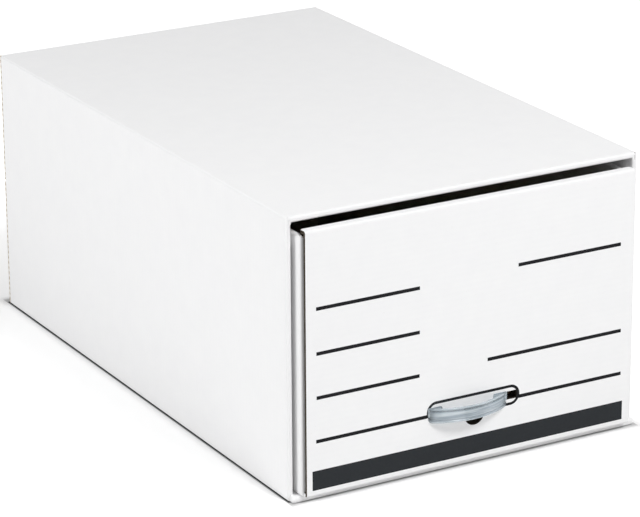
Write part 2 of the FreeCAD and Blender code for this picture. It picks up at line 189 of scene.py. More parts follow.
# Kraft liner: unbleached softwood pulp, calendered on the machine. Brown, matt, with long fibres.
# Along the front edge it is painted a neutral grey, as painted shade for the kraft seen in the gaps there.
def makeKraftLiner():
    look = {
        "brown": "B5936B", "dark": "9C7A54", "light": "C7A780",
        "fibreLength": 5 * mm, "fibreWidth": 0.7 * mm, "cloudSize": 25 * mm,
        "threadFrom": 0.45, "threadTo": 0.75, "threadShare": 0.6,
        "rippleDepth": 0.05 * mm, "fibreDepth": 0.02 * mm,
        "gapShadeGrey": "96928C", "gapShadeGreyBefore": -333.5 * mm,
    }
    material, tree = newMaterial("unbleachedKraftLiner")
    place = objectPlace(tree)
    sizes = (look["fibreWidth"], look["fibreLength"], look["fibreWidth"])
    fibres = streaks(tree, place, sizes, detail=4.0, bend=0.6)
    clouds = spots(tree, place, look["cloudSize"], detail=4.0)
    base = mixColours(tree, clouds, look["brown"], look["light"])
    threads = mapRange(tree, fibres, look["threadFrom"], look["threadTo"], 0.0, look["threadShare"])
    brown = mixColours(tree, threads, base, look["dark"])
    depthwards = addNode(tree, "ShaderNodeSeparateXYZ", {0: place}).outputs[1]
    # Painted shade: kraft in the gaps at the front edge turns neutral grey
    isInGapShade = addMath(tree, "LESS_THAN", depthwards, look["gapShadeGreyBefore"])
    waves = addBump(tree, fluteRipple(tree, "COSINE"), look["rippleDepth"])
    addSurface(tree, {
        "Base Color": mixColours(tree, isInGapShade, brown, look["gapShadeGrey"]), "Roughness": 0.85, "IOR": 1.45,
        "Specular IOR Level": 0.3, "Normal": addBump(tree, fibres, look["fibreDepth"], waves)})
    return material


# Die-cut edge of the board: the liners' torn fibres and the ends of the flutes, rough and dull.
def makeCutEdge():
    look = {
        "fibre": "E6E2DA", "hollow": "B3A48E", "fibreSize": 0.9 * mm, "fibreDepth": 0.15 * mm,
        "waveShare": 0.22, "hollowFrom": 0.3, "fibreFrom": 0.75,
    }
    material, tree = newMaterial("dieCutBoardEdge")
    fibres = spots(tree, objectPlace(tree), look["fibreSize"], detail=4.0)
    mixed = addMath(tree, "MULTIPLY_ADD", fluteRipple(tree, "SINE"), look["waveShare"], fibres)
    share = mapRange(tree, mixed, look["hollowFrom"], look["fibreFrom"])
    addSurface(tree, {
        "Base Color": mixColours(tree, share, look["hollow"], look["fibre"]), "Roughness": 0.9,
        "IOR": 1.45, "Specular IOR Level": 0.2, "Normal": addBump(tree, mixed, look["fibreDepth"])})
    return material


def makeMattPaper(name, look):
    # Two tones in soft spots, with hardly any gloss
    material, tree = newMaterial(name)
    clouds = spots(tree, objectPlace(tree), look["size"], look["detail"], Roughness=look["grain"])
    addSurface(tree, {
        "Base Color": mixColours(tree, clouds, look["first"], look["second"]),
        "Roughness": look["roughness"], "IOR": 1.45, "Specular IOR Level": look["shine"],
        "Normal": addBump(tree, clouds, look["depth"])})
    return material


# Kraft liner in the depth of a wall or a slot, where hardly any light comes: matt, and painted dark and
# grey as painted shade.
def makeShadedKraft():
    return makeMattPaper("paintedShadeKraftInTheWall", {
        "first": "453F38", "second": "28231F", "size": 2.5 * mm, "detail": 5.0, "grain": 0.6,
        "depth": 0.05 * mm, "roughness": 0.95, "shine": 0.1})


# Fluting medium: recycled paper pressed into waves. Grey-brown, soft and very matt.
def makeFlutePaper():
    return makeMattPaper("recycledFluteMedium", {
        "first": "7E7466", "second": "5E554A", "size": 3 * mm, "detail": 6.0, "grain": 0.7,
        "depth": 0.03 * mm, "roughness": 0.92, "shine": 0.2})


# Flexo ink: water-based black printed with a rubber plate. Squeezed out darker along its rim, thinner
# and slightly mottled inside, with a soft satin gloss.
def makeInk():
    look = {
        "rim": "101114", "body": "232629", "thin": "2D3033", "mottleSize": 2.2 * mm,
        "depth": 0.01 * mm, "smooth": 0.38, "rough": 0.6,
    }
    material, tree = newMaterial("flexoPrintInk")
    mottle = spots(tree, objectPlace(tree), look["mottleSize"], detail=4.0, Roughness=0.65)
    body = mixColours(tree, mottle, look["body"], look["thin"])
    addSurface(tree, {
        "Base Color": mixColours(tree, attribute(tree, "inkRim"), body, look["rim"]),
        "Roughness": mapRange(tree, mottle, toLow=look["smooth"], toHigh=look["rough"]),
        "IOR": 1.5, "Specular IOR Level": 0.12, "Normal": addBump(tree, mottle, look["depth"])})
    return material


# Random copolymer polypropylene, injection moulded in a polished tool. Clear but a little milky and
# grey-blue, glossy, with faint flow lines along the strap. A darker line where its ribs would bend light,
# and darker ends, are painted shade.
def makeClearPlastic():
    look = {
        "tint": "E0EAF0", "milk": "B6C3CC", "bent": "4A575F", "flowSize": 60 * mm,
        "flowWidth": 1.9 * mm, "streakFrom": 0.38, "streakTo": 0.6, "smooth": 0.12, "rough": 0.2,
        "depth": 0.02 * mm, "clearness": 0.25, "cover": 0.66,
    }
    material, tree = newMaterial("clearMouldedPolypropylene")
    sizes = (look["flowSize"], look["flowSize"], look["flowWidth"])
    flow = streaks(tree, objectPlace(tree), sizes, detail=3.0, bend=0.4)
    streak = mapRange(tree, flow, look["streakFrom"], look["streakTo"])
    base = mixColours(tree, streak, look["tint"], look["milk"])
    # The bent colour is painted shade, laid just inside the ribs and at the strap's ends
    addSurface(tree, {
        "Base Color": mixColours(tree, attribute(tree, "paintedRibShade"), base, look["bent"]),
        "Roughness": mapRange(tree, flow, toLow=look["smooth"], toHigh=look["rough"]), "IOR": 1.49,
        "Transmission Weight": look["clearness"], "Alpha": look["cover"],
        "Normal": addBump(tree, flow, look["depth"])})
    return material


finishes = {
    "white": makeWhiteLiner(),
    "kraft": makeKraftLiner(),
    "cut": makeCutEdge(),
    "shaded": makeShadedKraft(),
    "flute": makeFlutePaper(),
    "ink": makeInk(),
    "plastic": makeClearPlastic(),
}
print("materials made:", len(finishes))


# Board panels: each takes its solid's own outline. white is the side that carries the top liner, cut
# lists the sides that end in a die-cut edge, open those that show their flutes, and shaded those that
# lie in the depth of the front wall and take the dark kraft's painted shade.
sides = {"-x": Vector((-1, 0, 0)), "+x": Vector((1, 0, 0)), "-y": Vector((0, -1, 0)),
         "+y": Vector((0, 1, 0)), "-z": Vector((0, 0, -1)), "+z": Vector((0, 0, 1))}
panels = {
    "sleeve_top": {"white": "+z"},
    "sleeve_left_side": {"white": "-x"},
    "sleeve_right_side": {"white": "+x"},
    "sleeve_bottom": {"white": "-z"},
    "sleeve_inner_floor": {"white": "+z"},
    "sleeve_top_return": {"white": "-z", "cut": ["+y"]},
    "sleeve_left_return": {"white": "+x", "cut": ["+y"]},
    "sleeve_right_return": {"white": "-x", "cut": ["+y"]},
    "sleeve_glue_flap": {"white": "-x", "cut": ["+z", "-y", "+y"]},
    "sleeve_back_left_flap": {"white": "+y", "cut": ["+x", "-z", "+z"]},
    "sleeve_back_right_flap": {"white": "+y", "cut": ["-x", "-z", "+z"]},
    "sleeve_back_top_flap": {"white": "+y", "cut": ["-z", "-x", "+x"]},
    "sleeve_back_bottom_flap": {"white": "+y", "cut": ["+z", "-x", "+x"]},
    "drawer_bottom": {"white": "-z"},
    "drawer_left_side": {"white": "-x"},
    "drawer_right_side": {"white": "+x"},
    "drawer_left_inner_side": {"white": "+x", "cut": ["-y", "+y", "-z"]},
    "drawer_right_inner_side": {"white": "-x", "cut": ["-y", "+y", "-z"]},
    "drawer_front_panel": {"white": "-y", "open": ["-x", "+x"]},
    "drawer_front_top_edge": {"white": "+z", "open": ["-x", "+x"]},
    "drawer_front_inner_panel": {"white": "+y", "cut": ["-z"], "shaded": ["-x", "+x"]},
    "drawer_front_left_flap": {"white": "-y", "cut": ["+x", "-z", "+z"]},
    "drawer_front_right_flap": {"white": "-y", "cut": ["-x", "-z", "+z"]},
    "drawer_back_panel": {"white": "+y", "open": ["-x", "+x"]},
    "drawer_back_top_edge": {"white": "+z", "open": ["-x", "+x"]},
    "drawer_back_inner_panel": {"white": "-y", "cut": ["-x", "+x", "-z"]},
    "drawer_back_left_flap": {"white": "+y", "cut": ["+x", "-z", "+z"]},
    "drawer_back_right_flap": {"white": "+y", "cut": ["-x", "-z", "+z"]},
}
# Both halves of the front wall, with painted shade on the faces between them
frontWall = ("drawer_front_panel", "drawer_front_inner_panel")
finishOrder = ["white", "kraft", "cut", "shaded", "flute"]
bodyOf = {node: body for body, nodes in frame["record"]["behaviour"]["bodies"].items() for node in nodes}

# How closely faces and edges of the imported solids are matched
matching = {
    "merge": 0.001 * mm,
    "flatAngle": math.radians(0.5),
    "bendAngle": math.radians(40),
    "shortEdge": 1 * mm,
    "shares": (0.04, 0.3, 0.5, 0.7, 0.96),   # where along an edge its neighbours are looked for
    "outwards": 0.1 * mm,
    "inwards": 0.3 * mm,
    "samePlane": 0.02 * mm,
    "onSide": 0.1 * mm,
    "nearSide": 1 * mm,
    "fully": 0.999,                          # cosines: how squarely a face looks to a side
    "mostly": 0.7,
    "slightly": 0.05,
}
smooth = {"sharpAngle": math.radians(32), "flatWeight": 100}


def mergedCopy(node):
    bm = bmesh.new()
    bm.from_mesh(frame["nodes"][node].data)
    bmesh.ops.remove_doubles(bm, verts=bm.verts, dist=matching["merge"])
    bmesh.ops.dissolve_limit(bm, angle_limit=matching["flatAngle"], verts=bm.verts, edges=bm.edges)
    return bm


solids = {}
for node in panels:
    copy = mergedCopy(node)
    solids[node] = (*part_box(node), BVHTree.FromBMesh(copy))
    copy.free()


def touchesNeighbour(point, node):
    # True where the point lies inside another solid of the same body.
    for other, (low, high, tree) in solids.items():
        if other == node or bodyOf[other] != bodyOf[node]:
            continue
        if all(low[i] < point[i] < high[i] for i in range(3)):
            place, normal, _, _ = tree.find_nearest(point)
            if (point - place).dot(normal) < 0:
                return True
    return False


def isFreeEdge(edge, node):
    # An edge is free where no neighbour lies against either of its faces.
    if len(edge.link_faces) != 2 or edge.calc_face_angle(0) < matching["bendAngle"] or not edge.is_convex:
        return False
    start, end = (v.co for v in edge.verts)
    if (end - start).length < matching["shortEdge"]:
        return False
    for share in matching["shares"]:
        point = start.lerp(end, share)
        for face in edge.link_faces:
            inward = face.normal.cross(end - start).normalized()
            loop = next(item for item in face.loops if item.edge == edge)
            if loop.vert.co != start:
                inward = -inward
            nearby = point + face.normal * matching["outwards"] + inward * matching["inwards"]
            if touchesNeighbour(nearby, node):
                return False
    return True


def openEnd(bm, direction, low, high):
    # Hollows a left or right end out between its liners, and gives the end's own box back.
    reach = high if max(direction) > 0 else low
    found = [f for f in bm.faces if f.normal.dot(direction) > matching["fully"]
             and abs(f.calc_center_median().x - reach.x) < matching["samePlane"]]
    face = max(found, key=lambda item: item.calc_area())
    corners = [v.co.copy() for v in face.verts]
    bmesh.ops.inset_individual(bm, faces=[face], thickness=board["liner"], depth=0)
    inner = bmesh.ops.extrude_discrete_faces(bm, faces=[face])["faces"][0]
    bmesh.ops.translate(bm, verts=inner.verts, vec=-direction * board["recess"])
    return [Vector([pick(c[i] for c in corners) for i in range(3)]) for pick in (min, max)]


def isHollow(point, low, high, recipe):
    # Tells the walls of a hollowed end from the board's own faces.
    axis = max(range(3), key=lambda i: abs(sides[recipe["white"]][i]))
    return ("open" in recipe and abs(abs(point.x) - high.x) < board["recess"]
            and low[axis] + matching["onSide"] < point[axis] < high[axis] - matching["onSide"])


def boardFinish(polygon, node, recipe, low, high):
    # Names the finish of one face, from where it lies and which way it looks.
    towardsWhite = polygon.normal.dot(sides[recipe["white"]])
    if isHollow(polygon.center, low, high, recipe):
        return "flute"
    # Faces between the front wall's halves take the dark kraft, a painted shade.
    if node in frontWall and towardsWhite < -matching["mostly"]:
        return "shaded"
    if towardsWhite > matching["slightly"]:
        return "white"
    if towardsWhite < -matching["mostly"]:
        return "kraft"
    faced = [name for name, side in sides.items() if polygon.normal.dot(side) > matching["mostly"]]
    distances = [(polygon.center - (high if "+" in name else low)).dot(sides[name]) for name in faced]
    onBox = any(abs(distance) < matching["nearSide"] for distance in distances)
    # So do the walls of its slots and the sides listed as shaded: painted shade.
    if node in frontWall and not onBox or set(faced) & set(recipe.get("shaded", [])):
        return "shaded"
    if not onBox or set(faced) & set(recipe.get("cut", []) + recipe.get("open", [])):
        return "cut"
    return "white"


def dressBoard(mesh, node, recipe):
    # Sets each face's material, and how far it lies across the flutes.
    low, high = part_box(node)
    # Flutes run across each folded wrap, so they are spaced along the depth and up the ends.
    axis = 1
    if recipe["white"] in ("-y", "+y"):
        axis = 0 if "_left_flap" in node or "_right_flap" in node else 2
    across = []
    for polygon in mesh.polygons:
        polygon.material_index = finishOrder.index(boardFinish(polygon, node, recipe, low, high))
        across += [mesh.vertices[i].co[axis] for i in polygon.vertices]
    values = mesh.attributes.new("acrossFlutes", "FLOAT", "CORNER")
    values.data.foreach_set("value", across)


def smoothShading(piece):
    # Smooths the shading with the flat faces kept flat, and leaves a plain mesh.
    for polygon in piece.data.polygons:
        polygon.use_smooth = True
    piece.data.set_sharp_from_angle(angle=smooth["sharpAngle"])
    modifier = piece.modifiers.new("flatFacesStayFlat", "WEIGHTED_NORMAL")
    modifier.keep_sharp = True
    modifier.weight = smooth["flatWeight"]
    graph = bpy.context.evaluated_depsgraph_get()
    plain = bpy.data.meshes.new_from_object(piece.evaluated_get(graph))
    piece.modifiers.remove(modifier)
    piece.data = plain


def newPiece(name, mesh, body, replaced=()):
    piece = bpy.data.objects.new(name, mesh)
    bpy.context.scene.collection.objects.link(piece)
    smoothShading(piece)
    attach(piece, body)
    if replaced:
        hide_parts(*replaced)


def finishPiece(bm, name, finish, body, replaced=()):
    # Turns a finished bmesh of one material into a piece.
    bmesh.ops.recalc_face_normals(bm, faces=bm.faces)
    mesh = bpy.data.meshes.new(name)
    bm.to_mesh(mesh)
    bm.free()
    mesh.materials.append(finishes[finish])
    newPiece(name, mesh, body, replaced)


openEnds = []
for node, recipe in panels.items():
    bm = mergedCopy(node)
    low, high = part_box(node)
    for name in recipe.get("open", []):
        openEnds.append((node, name, *openEnd(bm, sides[name], low, high)))
    free = [edge for edge in bm.edges if isFreeEdge(edge, node)]
    bmesh.ops.bevel(bm, geom=free, offset=board["edgeSoftness"], offset_type="OFFSET", segments=2,
                    profile=0.5, affect="EDGES", clamp_overlap=True)
    mesh = bpy.data.meshes.new(node + "_board")
    bm.to_mesh(mesh)
    bm.free()
    for finish in finishOrder:
        mesh.materials.append(finishes[finish])
    dressBoard(mesh, node, recipe)
    newPiece(node + "_board", mesh, bodyOf[node], [node])
print("board panels dressed:", len(panels), "with", len(openEnds), "open ends")


# Flutes: the wavy medium between the liners, seen at the open ends
def makeFluteTree():
    tree = bpy.data.node_groups.new("wavyMedium", "GeometryNodeTree")
    tree.interface.new_socket("Geometry", in_out="OUTPUT", socket_type="NodeSocketGeometry")
    names = {}
    for name, kind in (("Length", "Float"), ("Depth", "Float"), ("Wave Height", "Float"),
                       ("Spacing", "Float"), ("Paper", "Float"), ("Steps", "Int"),
                       ("Material", "Material")):
        names[name] = tree.interface.new_socket(name, in_out="INPUT",
                                                socket_type="NodeSocket" + kind).identifier
    given = addNode(tree, "NodeGroupInput").outputs
    grid = addNode(tree, "GeometryNodeMeshGrid", {"Size X": given["Length"], "Size Y": given["Depth"],
                                                  "Vertices X": given["Steps"], "Vertices Y": 2})
    position = addNode(tree, "GeometryNodeInputPosition").outputs[0]
    place = addNode(tree, "ShaderNodeSeparateXYZ", {0: position}).outputs[0]
    turns = addMath(tree, "DIVIDE", place, given["Spacing"])
    wave = addMath(tree, "SINE", addMath(tree, "MULTIPLY", turns, 2 * math.pi))
    lift = addMath(tree, "MULTIPLY", wave, addMath(tree, "MULTIPLY", given["Wave Height"], 0.5))
    offset = addNode(tree, "ShaderNodeCombineXYZ", {2: lift})
    bent = addNode(tree, "GeometryNodeSetPosition", {"Geometry": grid.outputs[0],
                                                     "Offset": offset.outputs[0]})
    thick = addNode(tree, "GeometryNodeExtrudeMesh", {
        "Mesh": bent.outputs[0], "Offset Scale": given["Paper"], "Individual": False})
    under = addNode(tree, "GeometryNodeFlipFaces", {0: bent.outputs[0]})
    both = addNode(tree, "GeometryNodeJoinGeometry")
    tree.links.new(thick.outputs[0], both.inputs[0])
    tree.links.new(under.outputs[0], both.inputs[0])
    whole = addNode(tree, "GeometryNodeMergeByDistance", {0: both.outputs[0]})
    coated = addNode(tree, "GeometryNodeSetMaterial", {"Geometry": whole.outputs[0],
                                                       "Material": given["Material"]})
    addNode(tree, "NodeGroupOutput", {0: coated.outputs[0]})
    return tree, names


fluteTree, fluteInputs = makeFluteTree()
fluteEnds = {"longFrom": 20 * mm, "shortTrim": 1 * mm}


def fluteStrip(length, height, depth):
    carrier = bpy.data.objects.new("fluteStrip", bpy.data.meshes.new("fluteStrip"))
    bpy.context.scene.collection.objects.link(carrier)
    modifier = carrier.modifiers.new("wavyMedium", "NODES")
    modifier.node_group = fluteTree
    sizes = {"Length": length, "Depth": depth, "Wave Height": height - board["flutePaper"],
             "Spacing": board["fluteSpacing"], "Paper": board["flutePaper"],
             "Steps": 1 + max(2, round(length / board["fluteSpacing"] * board["fluteSteps"])),
             "Material": finishes["flute"]}
    for name, value in sizes.items():
        modifier[fluteInputs[name]] = value
    graph = bpy.context.evaluated_depsgraph_get()
    strip = bpy.data.meshes.new_from_object(carrier.evaluated_get(graph))
    bpy.data.objects.remove(carrier)
    return strip


def layFlutes(joined, side, low, high):
    # Adds the waves of one open end to its body's mesh.
    spans = [high[i] - low[i] for i in range(3)]
    thin = min((1, 2), key=lambda i: spans[i])
    along = 3 - thin
    # A long end stops short of the folds at its corners.
    trim = 2 * board["thickness"] if spans[along] > fluteEnds["longFrom"] else fluteEnds["shortTrim"]
    strip = fluteStrip(spans[along] - trim, spans[thin] - 2 * board["liner"] - board["fluteSlack"],
                       board["recess"] - board["fluteInset"])
    # Length runs along the edge, depth runs into the board, waves go across its thickness.
    unit = [Vector((0, 0, 0)) for _ in range(3)]
    unit[0][along] = 1
    unit[2][thin] = 1
    unit[1] = unit[2].cross(unit[0])
    centre = (low + high) / 2 - sides[side] * (board["recess"] / 2) - unit[2] * board["flutePaper"] / 2
    strip.transform(Matrix.Translation(centre) @ Matrix(unit).transposed().to_4x4())
    joined.from_mesh(strip)
    bpy.data.meshes.remove(strip)


for body in frame["bodies"]:
    ends = [end for end in openEnds if bodyOf[end[0]] == body]
    if ends:
        joined = bmesh.new()
        for _, side, low, high in ends:
            layFlutes(joined, side, low, high)
        finishPiece(joined, body + "_flutes", "flute", body)
print("flutes laid")


# Print on the drawer's front: rules, a bar and the outline round the pull, in millimetres
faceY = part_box("drawer_front_panel")[0].y
printed = {
    "inkHeight": 0.06,
    "inkSink": 0.02,
    "ruleThickness": 3.8,
    "rules": [(-182.4, -63.3, 205.7), (-182.4, -63.3, 158.5), (-182.4, -63.3, 111.7),
              (53.5, 179.0, 209.0), (17.7, 181.7, 113.3), (-183.2, -53.5, 65.3), (55.8, 182.9, 65.3)],
    "bar": (-187.7, 185.6, 13.0, 33.9),
    "barRim": 1.2,
    "outline": (-54.5, 56.9, 57.7, 80.0),
    "outlineThickness": 3.0,
    "outlineSteps": 24,
    "outlineDarkEnd": 20.0,
}


def inkVerts(bm, points):
    # Points across and up the front, laid on the ink's top
    return [bm.verts.new((x * mm, faceY - printed["inkHeight"] * mm, z * mm)) for x, z in points]


def inkedFace(bm, rimLayer, points, rimWidth=0):
    # One printed shape. The darker ink lies along its rim, or all over it where it has none.
    face = bm.faces.new(inkVerts(bm, points))
    face.normal_update()
    if face.normal.y > 0:
        face.normal_flip()
    for vert in face.verts:
        vert[rimLayer] = 1
    if rimWidth:
        bmesh.ops.inset_individual(bm, faces=[face], thickness=rimWidth * mm, depth=0)
        for vert in face.verts:
            vert[rimLayer] = 0


def stadium(low, high, bottom, top, inset):
    # A bar with round ends, drawn in by the inset
    radius = (top - bottom) / 2
    middle = (top + bottom) / 2
    points = []
    for centre, start in ((high - radius, -90), (low + radius, 90)):
        for step in range(printed["outlineSteps"] + 1):
            angle = math.radians(start + 180 * step / printed["outlineSteps"])
            points.append((centre + (radius - inset) * math.cos(angle),
                           middle + (radius - inset) * math.sin(angle)))
    return points


def makePrint():
    bm = bmesh.new()
    rimLayer = bm.verts.layers.float.new("inkRim")
    half = printed["ruleThickness"] / 2
    shapes = [((left, right, level - half, level + half), 0) for left, right, level in printed["rules"]]
    for (left, right, bottom, top), rimWidth in shapes + [(printed["bar"], printed["barRim"])]:
        inkedFace(bm, rimLayer, [(left, bottom), (right, bottom), (right, top), (left, top)], rimWidth)
    outer, inner = (inkVerts(bm, stadium(*printed["outline"], inset))
                    for inset in (0, printed["outlineThickness"]))
    for i in range(len(outer)):
        j = (i + 1) % len(outer)
        bm.faces.new((outer[i], outer[j], inner[j], inner[i]))
    darkFrom = (printed["outline"][1] - printed["outlineDarkEnd"]) * mm
    for vert in outer + inner:
        vert[rimLayer] = 1 if vert.co.x > darkFrom else 0
    tops = list(bm.faces)
    bmesh.ops.recalc_face_normals(bm, faces=tops)
    for face in bm.faces:
        if face.normal.y > 0:
            face.normal_flip()
    # Walls and underside, so that each shape is a closed thin plate
    result = bmesh.ops.extrude_face_region(bm, geom=tops, use_keep_orig=True)
    moved = [item for item in result["geom"] if isinstance(item, bmesh.types.BMVert)]
    depth = (printed["inkHeight"] + printed["inkSink"]) * mm
    bmesh.ops.translate(bm, verts=moved, vec=(0, depth, 0))
    finishPiece(bm, "front_print", "ink", "drawer")


makePrint()
print("front printed")


# Pull: a clear strap bowed out of the drawer's front, with ribbed edges, fine flow ribs, and necks
# that pass through the board to a lock bar at each end. Millimetres.
pull = {
    "centreX": -6.0,
    "halfSpan": 47.0,                # from the middle to the strap's outer face at the panel
    "bow": 14.0,
    "thickness": 2.6,
    "height": 15.6,
    "bottom": 57.5,
    "edgeRound": 0.55,
    "edgeTurns": (90, 60, 30, 0),    # degrees along each rounded edge of the cross-section
    "steps": 120,
    "ribHeight": 2.0,
    "ribDepth": 0.7,
    "ribSlope": [(0, -0.5), (0.25, -0.1), (0.6, 0.25)],   # depth, and height past the rib's edge
    "flowRibs": 4,
    "flowRibDepth": 0.12,
    "flowSteps": 48,
    "flowMargin": 0.5,
    "flowSharpness": 3,
    "cornerReach": 0.05,             # share of the length over which the ends' lower corner is round
    "cornerDrop": 3.6,
    "neckX": 45.0,
    "neckMiddle": 68.9,
    "neckWidth": 4.0,
    "neckHeight": 8.0,
    "neckRound": 0.3,
    "lockWidth": 9.0,
    "lockHeight": 18.0,
    "lockFront": -337.5,
    "lockBack": -335.1,
    "lockRound": 0.6,
    "shoulderReach": (-2.4, 14.0),   # of each end's pad, outwards and inwards from the neck's middle
    "shoulderHeight": 10.0,
    "shoulderThickness": 0.5,
    "shoulderGap": 0.05,
    "shoulderRound": 1.6,
}
# Painted shade: how much darker the strap is painted just inside its ribs and at its ends
pullShade = {
    "upper": 0.95,
    "lower": 0.35,
    "upperInset": 0.6,               # of the darkest line from the upper rib, and of the lower one
    "lowerInset": 0.3,
    "height": 1.7,
    "outerDepth": 1.2,               # deeper than this the strap's inner face begins
    "end": 0.75,
    "endReach": 0.07,                # share of the strap's length
}


def strapSection():
    # Corner list (depth from the outer face, height) of the strap's cross-section, one closed loop.
    height, thick, rounded = (pull[name] for name in ("height", "thickness", "edgeRound"))
    points = []
    for centre, start in (((rounded, rounded), 180), ((rounded, height - rounded), 90),
                          ((thick - rounded, height - rounded), 0), ((thick - rounded, rounded), -90)):
        points += [(centre[0] + rounded * math.cos(math.radians(start + a)),
                    centre[1] + rounded * math.sin(math.radians(start + a))) for a in pull["edgeTurns"]]
        if start == 180:
            low, high, margin = pull["ribHeight"], height - pull["ribHeight"], pull["flowMargin"]
            points += [(depth, low + rise) for depth, rise in pull["ribSlope"]]
            for i in range(pull["flowSteps"] + 1):
                share = i / pull["flowSteps"]
                wave = 0.5 - 0.5 * math.cos(2 * math.pi * share * pull["flowRibs"])
                points.append((pull["ribDepth"] - pull["flowRibDepth"] * wave ** pull["flowSharpness"],
                               low + margin + (high - low - 2 * margin) * share))
            points += [(depth, high - rise) for depth, rise in reversed(pull["ribSlope"])]
    return points


def paintedRibShade(depth, level):
    # Painted shade on the strap's outer face just inside its two ribs
    if depth > pullShade["outerDepth"]:
        return 0
    lines = ((pullShade["upper"], pull["height"] - pull["ribHeight"] - pullShade["upperInset"]),
             (pullShade["lower"], pull["ribHeight"] + pullShade["lowerInset"]))
    return max(shade * max(0, 1 - abs(level - line) / pullShade["height"]) for shade, line in lines)


def makeStrap(bm, shadeLayer):
    half, bow, steps = pull["halfSpan"], pull["bow"], pull["steps"]
    radius = (half * half + bow * bow) / (2 * bow)
    reach = math.asin(half / radius)
    section = strapSection()
    centreY = faceY / mm - bow + radius
    rings = []
    for step in range(steps + 1):
        angle = -reach + 2 * reach * step / steps
        fromEnd = min(step, steps - step) / steps
        # Painted shade at the strap's ends
        paintedEndShade = max(0, 1 - fromEnd / pullShade["endReach"]) * pullShade["end"]
        # The lower corners are round: the bottom line rises in a quarter circle at each end.
        turn = max(0, 1 - fromEnd / pull["cornerReach"])
        lift = pull["cornerDrop"] * (1 - math.sqrt(1 - turn * turn))
        ring = []
        for depth, level in section:
            # The strap ends on the panel's face, so each line of it stops where it meets the face.
            own = radius - depth
            turned = angle * math.acos(min(1, (radius - bow) / own)) / reach
            raised = level + lift * (1 - level / pull["height"])
            vert = bm.verts.new(((pull["centreX"] + own * math.sin(turned)) * mm,
                                 (centreY - own * math.cos(turned)) * mm,
                                 (pull["bottom"] + raised) * mm))
            vert[shadeLayer] = max(paintedRibShade(depth, level), paintedEndShade)
            ring.append(vert)
        rings.append(ring)
    for a, b in zip(rings, rings[1:]):
        for i in range(len(section)):
            j = (i + 1) % len(section)
            bm.faces.new((a[i], a[j], b[j], b[i]))
    bm.faces.new(rings[0])
    bm.faces.new(rings[-1][::-1])


def roundedBlock(bm, low, high, softness, segments=3, along=None):
    # A block with all its edges rounded, or only those that run along one axis
    made = bmesh.ops.create_cube(bm, size=1)["verts"]
    for vert in made:
        vert.co = Vector([low[i] if vert.co[i] < 0 else high[i] for i in range(3)]) * mm
    edges = {edge for vert in made for edge in vert.link_edges}
    if along is not None:
        edges = {edge for edge in edges if edge.verts[0].co[along] != edge.verts[1].co[along]}
    bmesh.ops.bevel(bm, geom=list(edges), offset=softness * mm, offset_type="OFFSET",
                    segments=segments, profile=0.5, affect="EDGES", clamp_overlap=True)


def makePull():
    bm = bmesh.new()
    makeStrap(bm, bm.verts.layers.float.new("paintedRibShade"))
    front, middle = faceY / mm, pull["neckMiddle"]
    for side in (-1, 1):
        x = pull["centreX"] + side * pull["neckX"]
        wide, tall = pull["neckWidth"] / 2, pull["neckHeight"] / 2
        roundedBlock(bm, (x - wide, front, middle - tall), (x + wide, pull["lockFront"], middle + tall),
                     pull["neckRound"])
        wide, tall = pull["lockWidth"] / 2, pull["lockHeight"] / 2
        roundedBlock(bm, (x - wide, pull["lockFront"], middle - tall),
                     (x + wide, pull["lockBack"], middle + tall), pull["lockRound"])
        left, right = sorted(x - side * reach for reach in pull["shoulderReach"])
        tall = pull["shoulderHeight"] / 2
        roundedBlock(bm, (left, front - pull["shoulderThickness"], middle - tall),
                     (right, front - pull["shoulderGap"], middle + tall), pull["shoulderRound"],
                     segments=5, along=1)
    finishPiece(bm, "handle_strap", "plastic", "drawer", ["handle"])


makePull()
print("pull moulded")


# Upper corners of the sleeve's front edge: where the folded-in margins end, a small web of the same
# sheet folds in with them and closes the corner. Millimetres.
cornerFold = {"set": 0.2, "depth": 3.8, "overlap": 0.3, "round": 0.6}


def makeCornerFolds():
    bm = bmesh.new()
    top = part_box("sleeve_top_return")[1].z / mm
    for node in ("sleeve_left_return", "sleeve_right_return"):
        low, high = (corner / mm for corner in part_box(node))
        roundedBlock(bm, (low.x, low.y + cornerFold["set"], high.z - cornerFold["overlap"]),
                     (high.x, low.y + cornerFold["depth"], top), cornerFold["round"])
    finishPiece(bm, "sleeve_corner_folds", "white", "sleeve")


makeCornerFolds()
print("corners folded")


# Stage: plain white floor and a white room, with soft light mostly from the front
stageLook = {
    "floorColour": "F6F6F6", "floorSize": 10.0, "floorDrop": 0.1 * mm, "glowColour": "FFFFFF",
    "nearGlow": 0.28, "nearReach": 12 * mm, "farGlow": 0.4, "farReach": 0.5,
    # Painted contact shadow on the floor: its colour, and how far it reaches beside the sides and before
    # the lip
    "paintedContactShadowFrom": 1.2 * mm, "paintedContactShadowTo": 3.4 * mm, "paintedContactShadowColour": "303032",
    "lipShade": 0.6, "lipReach": 7 * mm, "lipUnder": -6 * mm, "roomLight": 0.33,
}
softboxes = {
    "frontSoftbox": {"place": (0.75, -2.5, 3.1), "aim": (0, -0.3, 0.15), "size": 1.1, "power": 84.0},
    "leftSoftbox": {"place": (-3.4, 0.1, 1.8), "aim": (-0.2, 0, 0.15), "size": 1.1, "power": 53.0},
}
# A long plain lens, seen from the left and above. Degrees, metres, and millimetres for the lens.
cameraLook = {
    "turn": -29.569, "lift": 19.497, "roll": -0.353,
    "distance": 3.5738, "sideways": -0.01844, "upwards": 0.02939, "aim": (0, 0, 0.15),
    "sensor": 36, "lens": 182.91, "farthest": 50,
}


def seenByEye(tree):
    # 1 where the camera looks, also by a reflection or through the plastic, and 0 for light
    rays = addNode(tree, "ShaderNodeLightPath").outputs
    seen = addMath(tree, "MAXIMUM", rays["Is Camera Ray"], rays["Is Glossy Ray"])
    return addMath(tree, "MAXIMUM", seen, rays["Is Transmission Ray"])
